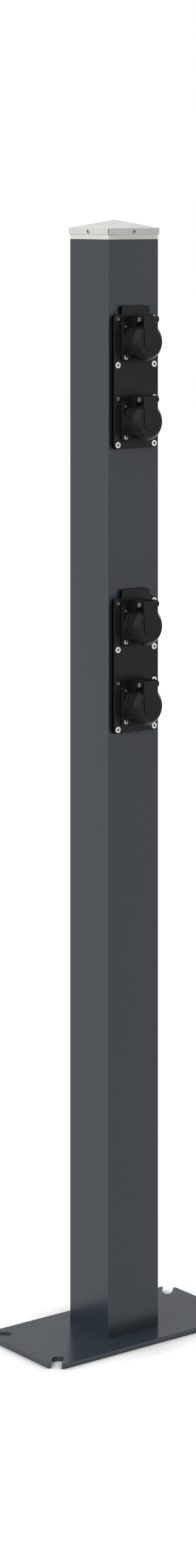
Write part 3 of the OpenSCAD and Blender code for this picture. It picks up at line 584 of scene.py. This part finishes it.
def corner_bead(quarter):
    """Section: a flat-topped hump half as wide as the cut edge, its face hollowed by half a
    sine. Along its height the hump swells and thins very slightly, as the sum of two sines.
    The bead is near black and stands in for the shade in the slit: painted shade."""
    roof_rise, sheet, inset, lift = 0.0108, 0.0012, 0.0001, 0.0002
    width, foot, rise, hollow, back = 0.00065, 0.00031, 0.00026, 0.00008, 0.0006
    waves = ((0.00002, 900.0), (0.00001, 2300.0))
    low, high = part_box("top_cap")
    half = high[0]
    across, along = np.meshgrid(
        np.linspace(0.0, 1.0, 13), np.linspace(low[2] + lift, high[2] - roof_rise - sheet, 30))
    flat_top = np.minimum(1.0, 5.0 * np.minimum(across, 1.0 - across)) ** 0.5
    swell = sum(size * np.sin(along * rate) for size, rate in waves)
    x = -half + inset + width * across
    face = -half + foot - flat_top * (rise + swell - hollow * np.sin(np.pi * across))
    rings = np.concatenate([np.stack([x, face, along], 2),
                            np.stack([x, np.full_like(x, -half + back), along], 2)[:, ::-1]],
                           axis=1)
    turn = quarter * math.pi / 2.0
    turned = rings.copy()
    turned[..., 0] = math.cos(turn) * rings[..., 0] - math.sin(turn) * rings[..., 1]
    turned[..., 1] = math.sin(turn) * rings[..., 0] + math.cos(turn) * rings[..., 1]
    rows, sides = rings.shape[:2]
    near = np.arange(sides // 2 - 1)
    low_end = np.stack([near, sides - 1 - near, sides - 2 - near, near + 1], 1)
    high_end = low_end[:, ::-1] + (rows - 1) * sides
    faces = np.concatenate([walls_between(rows, sides, closed=False), low_end, high_end])
    bead = smooth_piece(f"corner_bead_{quarter}", turned, faces.tolist(), SLIT_SHADE)
    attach(bead, "column")


for quarter_turn in (0, 2):
    corner_bead(quarter_turn)


# Screws: stainless, cold-formed heads with a hex socket, shiny from the tumbler. The
# sockets are painted near black, painted shade, and the heads beside each hinge are
# painted dark outside a ring round the socket, painted shade from the hinge.
def length_of(tree, one, other):
    """Length of the line that has these two sides of a right angle."""
    squares = [sums(tree, "MULTIPLY", side, side) for side in (one, other)]
    return sums(tree, "POWER", sums(tree, "ADD", *squares), 0.5)


def sunk_shade_group():
    """Face is 0 deep in a socket, where shade is painted, and 1 on the head's face, told by how
    far out from the post's axis the point lies. Near is the same told by the distance from
    an axis at Centre Z, and falls to 0 again at the rim, where shade is painted too."""
    group, start, end = shader_group(
        "sunk_shade",
        {"Deep": 0.0, "Shallow": 0.001, "Centre Z": 0.0, "Bore": 0.001, "Rim": 0.003},
        ["Face", "Near"])
    x, y, z = parts_of(group, "Object")
    x, y = sums(group, "ABSOLUTE", x), sums(group, "ABSOLUTE", y)
    face = ramp_between(group, sums(group, "MAXIMUM", x, y), start.outputs["Deep"],
                        start.outputs["Shallow"])
    group.links.new(face, end.inputs["Face"])
    above = sums(group, "SUBTRACT", z, start.outputs["Centre Z"])
    away = length_of(group, sums(group, "MINIMUM", x, y), above)
    bore, rim = start.outputs["Bore"], start.outputs["Rim"]
    clear = ramp_between(group, away, sums(group, "MULTIPLY", bore, 0.9), bore)
    rim_shade = ramp_between(group, away, sums(group, "MULTIPLY", rim, 0.86), rim)
    group.links.new(sums(group, "MULTIPLY", clear, rest_of(group, rim_shade)), end.inputs["Near"])
    return group


def hinge_shade_group():
    """The first output is 1 on the heads at x = Side and z = Upper Z or Lower Z, outside a
    ring of radius Ring round the socket: painted shade. The second is 1 inside that ring,
    where the painted shade is faint. Both are 0 on every other head."""
    past_head, gone = 0.006, 0.007
    group, start, end = shader_group(
        "hinge_shade", {"Side": 0.0, "Upper Z": 0.0, "Lower Z": 0.0, "Ring": 0.002},
        ["Shaded", "Inside Ring"])
    x, _, z = parts_of(group, "Object")
    aside = sums(group, "SUBTRACT", x, start.outputs["Side"])
    above = [sums(group, "ABSOLUTE", sums(group, "SUBTRACT", z, start.outputs[height]))
             for height in ("Upper Z", "Lower Z")]
    away = length_of(group, aside, sums(group, "MINIMUM", *above))
    ring = start.outputs["Ring"]
    this_head = rest_of(group, ramp_between(group, away, past_head, gone))
    outside = ramp_between(group, away, sums(group, "MULTIPLY", ring, 0.85), ring)
    for label, share in (("Shaded", outside), ("Inside Ring", rest_of(group, outside))):
        group.links.new(sums(group, "MULTIPLY", this_head, share), end.inputs[label])
    return group


SUNK_SHADE = sunk_shade_group()
HINGE_SHADE = hinge_shade_group()


def screw_steel(name, dark, pale, sunk_tone, told_by, hinge_shaded=None, **places):
    """Polished steel with the sunk tone, painted shade, where told_by, Face or Near, is 0. The
    heads beside a hinge, where their places are given, are painted dark as shade."""
    finish, tree, shader = new_finish(name)
    grain = place_group(tree, BRUSHED_GRAIN, Stretch=(700.0, 700.0, 700.0),
                        Bands=(90.0, 90.0, 90.0))
    sunk = place_group(tree, SUNK_SHADE, **places)
    tone = blend_colours(tree, grain.outputs["Shade"], dark, pale)
    colour = blend_colours(tree, sunk.outputs[told_by], grey(sunk_tone), tone)
    if hinge_shaded:
        hinge_shade_mask = place_group(tree, HINGE_SHADE, **hinge_shaded)
        # Painted shade on the heads beside a hinge, faint inside the ring round the socket.
        colour = blend_colours(tree, hinge_shade_mask.outputs["Shaded"], colour, grey(0.02))
        thin = sums(tree, "MULTIPLY", hinge_shade_mask.outputs["Inside Ring"], 0.2)
        colour = blend_colours(tree, thin, colour, grey(0.03))
    tree.links.new(colour, shader.inputs["Base Color"])
    tree.links.new(spread(tree, grain.outputs["Height"], 0.28, 0.4), shader.inputs["Roughness"])
    shader.inputs["Metallic"].default_value = 1.0
    bump_from(tree, shader, grain.outputs["Height"], depth=0.000002)
    return finish


def beside_hinges(screws, head_radius, ring, lower=0.0):
    """Places of the upper left heads among these screws; lower is how far down the second
    socket of a module is."""
    low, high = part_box(screws)
    upper = high[2] - head_radius
    return {"Side": low[0] + head_radius, "Upper_Z": upper, "Lower_Z": upper - lower,
            "Ring": ring}


SOCKETS = (1, 2, 3, 4)
screw_edge, flange_depth = 0.00008, 0.004
plate_front = -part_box("upper_plate")[0][1]
flange_front = plate_front + flange_depth
cap_low, cap_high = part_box("cap_screws")
# The cap screws get darker steel tones than the plate screws: painted shade.
dress(["cap_screws"],
      screw_steel("cap_screw_steel", dark=(0.3, 0.31, 0.3), pale=(0.38, 0.39, 0.38),
                  sunk_tone=0.045, told_by="Near", Centre_Z=(cap_low[2] + cap_high[2]) / 2.0,
                  Bore=0.0014, Rim=0.0032), screw_edge)
screw_tops = {i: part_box(f"flange_screws_{i}")[1][2] for i in SOCKETS}
for module, first in (("upper", 1), ("lower", 3)):
    screws = f"{module}_plate_screws"
    heads = beside_hinges(screws, head_radius=0.004, ring=0.0024,
                          lower=screw_tops[first] - screw_tops[first + 1])
    dress([screws],
          screw_steel(f"{module}_plate_screw_steel", dark=(0.52, 0.53, 0.53),
                      pale=(0.7, 0.71, 0.71), sunk_tone=0.15, told_by="Face", hinge_shaded=heads,
                      Deep=plate_front - 0.0004, Shallow=plate_front - 0.00005), screw_edge)
for i in SOCKETS:
    screws = f"flange_screws_{i}"
    heads = beside_hinges(screws, head_radius=0.0033, ring=0.0022)
    dress([screws],
          screw_steel(f"flange_screw_steel_{i}", dark=(0.34, 0.35, 0.35),
                      pale=(0.46, 0.47, 0.47), sunk_tone=0.13, told_by="Face", hinge_shaded=heads,
                      Deep=flange_front - 0.0001, Shallow=flange_front + 0.0003), screw_edge)
dress(["insert_screws", "rail_nuts"],
      metal("plain_steel", dark=(0.5, 0.5, 0.5), pale=(0.68, 0.68, 0.69),
            rough=(0.25, 0.35), stretch=(700.0, 700.0, 700.0)), screw_edge)


# Module plates: injection-moulded black plastic, polished on the front and matt on the
# sides of the mould, with faint flow marks and a trace of dust on what faces up.
def moulded_skin_group():
    """Fine spark-eroded texture as height, slow flow marks as sheen, and how squarely a
    point faces the front, from 0 to 1, as front."""
    group, start, end = shader_group(
        "moulded_skin", {"Scale": 2500.0, "Flow": 25.0}, ["Height", "Sheen", "Front"])
    spot = add_node(group, "TexCoord").outputs["Object"]
    forward = sums(group, "MULTIPLY", parts_of(group, "Normal")[1], -1.0)
    fine = noise_on(group, spot, start.outputs["Scale"], detail=2.0)
    slow = noise_on(group, spot, start.outputs["Flow"], detail=5.0, distortion=0.8)
    group.links.new(fine, end.inputs["Height"])
    group.links.new(slow, end.inputs["Sheen"])
    group.links.new(ramp_between(group, forward, 0.45, 0.9), end.inputs["Front"])
    return group


MOULDED_SKIN = moulded_skin_group()


def polished_plastic(name, side, front, rough_side, rough_front, specular, depth):
    """Black mouldings: matt sides painted a darker grey than the front, painted shade, that
    turn to the front's grey and polish, both drifting slowly with the flow marks, over a fine
    skin."""
    finish, tree, shader = new_finish(name)
    skin = place_group(tree, MOULDED_SKIN)
    film = place_group(tree, DUST_AND_TOP_LIGHT, Upper=0.05, Lower=0.0, Reach=0.01)
    drift = spread(tree, skin.outputs["Sheen"], 0.85, 1.0)
    square = sums(tree, "MULTIPLY", skin.outputs["Front"], drift)
    # The sides' darker grey is painted shade.
    tone = blend_colours(tree, square, grey(side), grey(front))
    colour = blend_colours(tree, film.outputs["Mask"], tone, (0.1, 0.095, 0.09))
    tree.links.new(colour, shader.inputs["Base Color"])
    tree.links.new(spread(tree, square, rough_side, rough_front), shader.inputs["Roughness"])
    shader.inputs["Specular IOR Level"].default_value = specular
    bump_from(tree, shader, skin.outputs["Height"], depth)
    return finish


def moulded(name, dark, pale, rough, depth, specular=0.3, scale=2500.0):
    """Moulded plastic or rubber: two close tones, a roughness range and a fine skin."""
    finish, tree, shader = new_finish(name)
    skin = place_group(tree, MOULDED_SKIN, Scale=scale)
    tone = blend_colours(tree, skin.outputs["Sheen"], dark, pale)
    tree.links.new(tone, shader.inputs["Base Color"])
    tree.links.new(spread(tree, skin.outputs["Sheen"], *rough), shader.inputs["Roughness"])
    shader.inputs["Specular IOR Level"].default_value = specular
    bump_from(tree, shader, skin.outputs["Height"], depth)
    return finish


def second_finish(name, finish, picked):
    """Gives a node's picked faces a second finish."""
    mesh = nodes_of_frame[name].data
    mesh.materials.append(finish)
    mesh.polygons.foreach_set("material_index", picked.astype(np.int32))


def rim_of(name):
    """Picks a plate's faces that look to the left, to the right or down."""
    forward, upward = 0.3, 0.7
    facing = of_each_face(nodes_of_frame[name], "normal")
    return (np.abs(facing[:, 1]) < forward) & (facing[:, 2] < upward)


plates = ["upper_plate", "lower_plate"]
dress(plates, polished_plastic("plate_plastic", side=0.0015, front=0.0128, rough_side=0.75,
                               rough_front=0.25, specular=0.17, depth=0.000002), edge=0.0002)
# The plates' rims, facing left, right and down, are painted near black: painted shade.
MATT_RIM = moulded("matt_rim", dark=grey(0.0012), pale=grey(0.002), rough=(0.8, 0.95),
                   depth=0.000004, specular=0.02)
for plate in plates:
    second_finish(plate, MATT_RIM, rim_of(plate))


# Gaskets and lid seals: soft black rubber, slightly chalky. A gasket cut from sheet lies
# behind each module plate, and a flat ring is pressed into each lid.
def on_each_socket(piece):
    """The names of a piece's four nodes."""
    return [f"{piece}_{i}" for i in SOCKETS]


dress(["upper_gasket", "lower_gasket"] + on_each_socket("lid_seal"),
      moulded("seal_rubber", dark=grey(0.0025), pale=grey(0.0045), rough=(0.75, 0.9),
              depth=0.00001, specular=0.05, scale=1800.0))


# Socket housings: glass-filled black plastic, one moulding of flange, collar and hinge
# block, screwed to the plate through its four corners. The collar's sides are painted
# paler than the rest: painted light.
def collar_of(name):
    """Picks a housing's faces that look neither forwards nor backwards, and are curved or
    lie between the block and the flange's edge."""
    forward, square, block_half, flange_half = 0.5, 0.999, 0.015, 0.0245
    facing = np.abs(of_each_face(nodes_of_frame[name], "normal"))
    aside = np.abs(of_each_face(nodes_of_frame[name], "center")[:, 0])
    beside_block = (aside > block_half) & (aside < flange_half)
    return (facing[:, 1] < forward) & ((facing.max(axis=1) < square) | beside_block)


dress(on_each_socket("housing"),
      polished_plastic("housing_plastic", side=0.0012, front=0.0105, rough_side=0.7,
                       rough_front=0.3, specular=0.12, depth=0.000003), edge=0.0001)
# Painted light: a paler grey on the collar's sides.
LIT_COLLAR_PLASTIC = polished_plastic("lit_collar_plastic", side=0.007, front=0.012, rough_side=0.5,
                           rough_front=0.3, specular=0.15, depth=0.000003)
for housing in on_each_socket("housing"):
    second_finish(housing, LIT_COLLAR_PLASTIC, collar_of(housing))


# Lids: the same plastic as the housings, with a smooth cone and disc and the strap that
# closes round the hinge pin, all one moulding. They are given paler tones than the
# housings: painted light.
dress(on_each_socket("lid"),
      polished_plastic("lid_plastic", side=0.0015, front=0.0178, rough_side=0.4,
                       rough_front=0.15, specular=0.12, depth=0.000002), edge=0.00025)


# Inserts: matt black thermoset plastic with the plug's recess in front. Each is pressed
# into its housing from behind.
dress(on_each_socket("insert"),
      moulded("insert_plastic", dark=grey(0.009), pale=grey(0.014), rough=(0.4, 0.55),
              depth=0.000005), edge=0.00015)


# Contacts and earth clips: stamped and rolled brass. Two sleeves sit in each insert, and
# the screw in its middle holds the clip.
dress(on_each_socket("contacts") + on_each_socket("earth_clip"),
      metal("contact_brass", dark=(0.55, 0.4, 0.16), pale=(0.68, 0.52, 0.24),
            rough=(0.22, 0.36), stretch=(500.0, 60.0, 500.0)), edge=0.0001)


# Hinge pins: slotted stainless tube, pushed through the block's ears and the lid's
# knuckle, with its ends rolled over.
dress(on_each_socket("hinge_pin"),
      metal("pin_steel", dark=(0.26, 0.27, 0.27), pale=(0.4, 0.41, 0.41),
            rough=(0.25, 0.38), stretch=(60.0, 900.0, 900.0)), edge=0.00008)


# Closing springs: music wire, five turns round each pin. One leg bears on the hinge
# block, the other is tucked against the lid, and both ends are cut off and deburred.
SPRING_STEEL = metal("spring_steel", dark=(0.6, 0.61, 0.62), pale=(0.76, 0.77, 0.78),
                     rough=(0.14, 0.24), stretch=(60.0, 900.0, 900.0))


def closing_spring(i):
    """The wire's centre line runs straight outwards along the bottom of the coil, turns
    round the pin's axis five times while it moves sideways by one pitch a turn, and
    leaves straight outwards again. Round sections of the wire stand square to that line,
    and at both ends they shrink along a quarter circle to a small flat."""
    wire, coil, turns, pitch, sides, flat = 0.00045, 0.0032, 5, 0.0015, 14, 0.55
    block_leg, lid_leg = (0.0067, 0.0003, 12), (0.0002, 0.0015, 5)
    low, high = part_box(f"hinge_pin_{i}")
    axis_y, axis_z = (low[1] + high[1]) / 2.0, (low[2] + high[2]) / 2.0
    half = turns * pitch / 2.0
    to_block, to_lid = np.linspace(*block_leg), np.linspace(*lid_leg)
    angle = np.linspace(0.0, turns * 2.0 * math.pi, turns * 40 + 1)
    x = np.concatenate([np.full_like(to_block, -half), -half + pitch * angle / (2.0 * math.pi),
                        np.full_like(to_lid, half)])
    out = np.concatenate([-to_block, coil * np.sin(angle), to_lid])
    up = np.concatenate([np.full_like(to_block, -coil), -coil * np.cos(angle),
                         np.full_like(to_lid, -coil)])
    line = np.stack([x, axis_y - out, axis_z + up], 1)
    ahead = np.gradient(line, axis=0)
    ahead /= np.linalg.norm(ahead, axis=1)[:, None]
    side = np.cross(ahead, np.array([1.0, 0.0, 0.0]))
    side /= np.linalg.norm(side, axis=1)[:, None]
    upright = np.cross(side, ahead)
    rounded = flat + (1.0 - flat) * np.sin(np.arange(3) / 3.0 * math.pi / 2.0)
    girth = np.ones(len(line))
    girth[:3], girth[-3:] = rounded, rounded[::-1]
    turn = np.linspace(0.0, 2.0 * math.pi, sides, endpoint=False)[None, :, None]
    round_wire = np.cos(turn) * side[:, None, :] + np.sin(turn) * upright[:, None, :]
    rings = line[:, None, :] + wire * girth[:, None, None] * round_wire
    last = (len(line) - 1) * sides
    ends = [tuple(range(sides - 1, -1, -1)), tuple(range(last, last + sides))]
    faces = walls_between(len(line), sides, closed=False).tolist() + ends
    spring = smooth_piece(f"closing_spring_{i}", rings, faces, SPRING_STEEL)
    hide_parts(f"hinge_spring_{i}")
    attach(spring, "column")


for i in SOCKETS:
    closing_spring(i)


# Wiring space: zinc-plated rail, grey terminals, an earth terminal and its bond in
# green and yellow, and leads in a black sheath.
dress(["terminal_rail"],
      metal("zinc_rail", dark=(0.5, 0.5, 0.49), pale=(0.64, 0.64, 0.62),
            rough=(0.3, 0.45), stretch=(40.0, 800.0, 800.0)), edge=0.0001)
dress(["feed_terminals"],
      moulded("terminal_plastic", dark=(0.26, 0.27, 0.28), pale=(0.31, 0.32, 0.33),
              rough=(0.4, 0.5), depth=0.000006), edge=0.0001)
dress(["earth_terminal", "earth_bond"],
      moulded("earth_plastic", dark=(0.16, 0.34, 0.04), pale=(0.42, 0.44, 0.05),
              rough=(0.4, 0.5), depth=0.000006), edge=0.0001)
dress(on_each_socket("lead"),
      moulded("lead_sheath", dark=grey(0.016), pale=grey(0.024), rough=(0.5, 0.65),
              depth=0.00001))
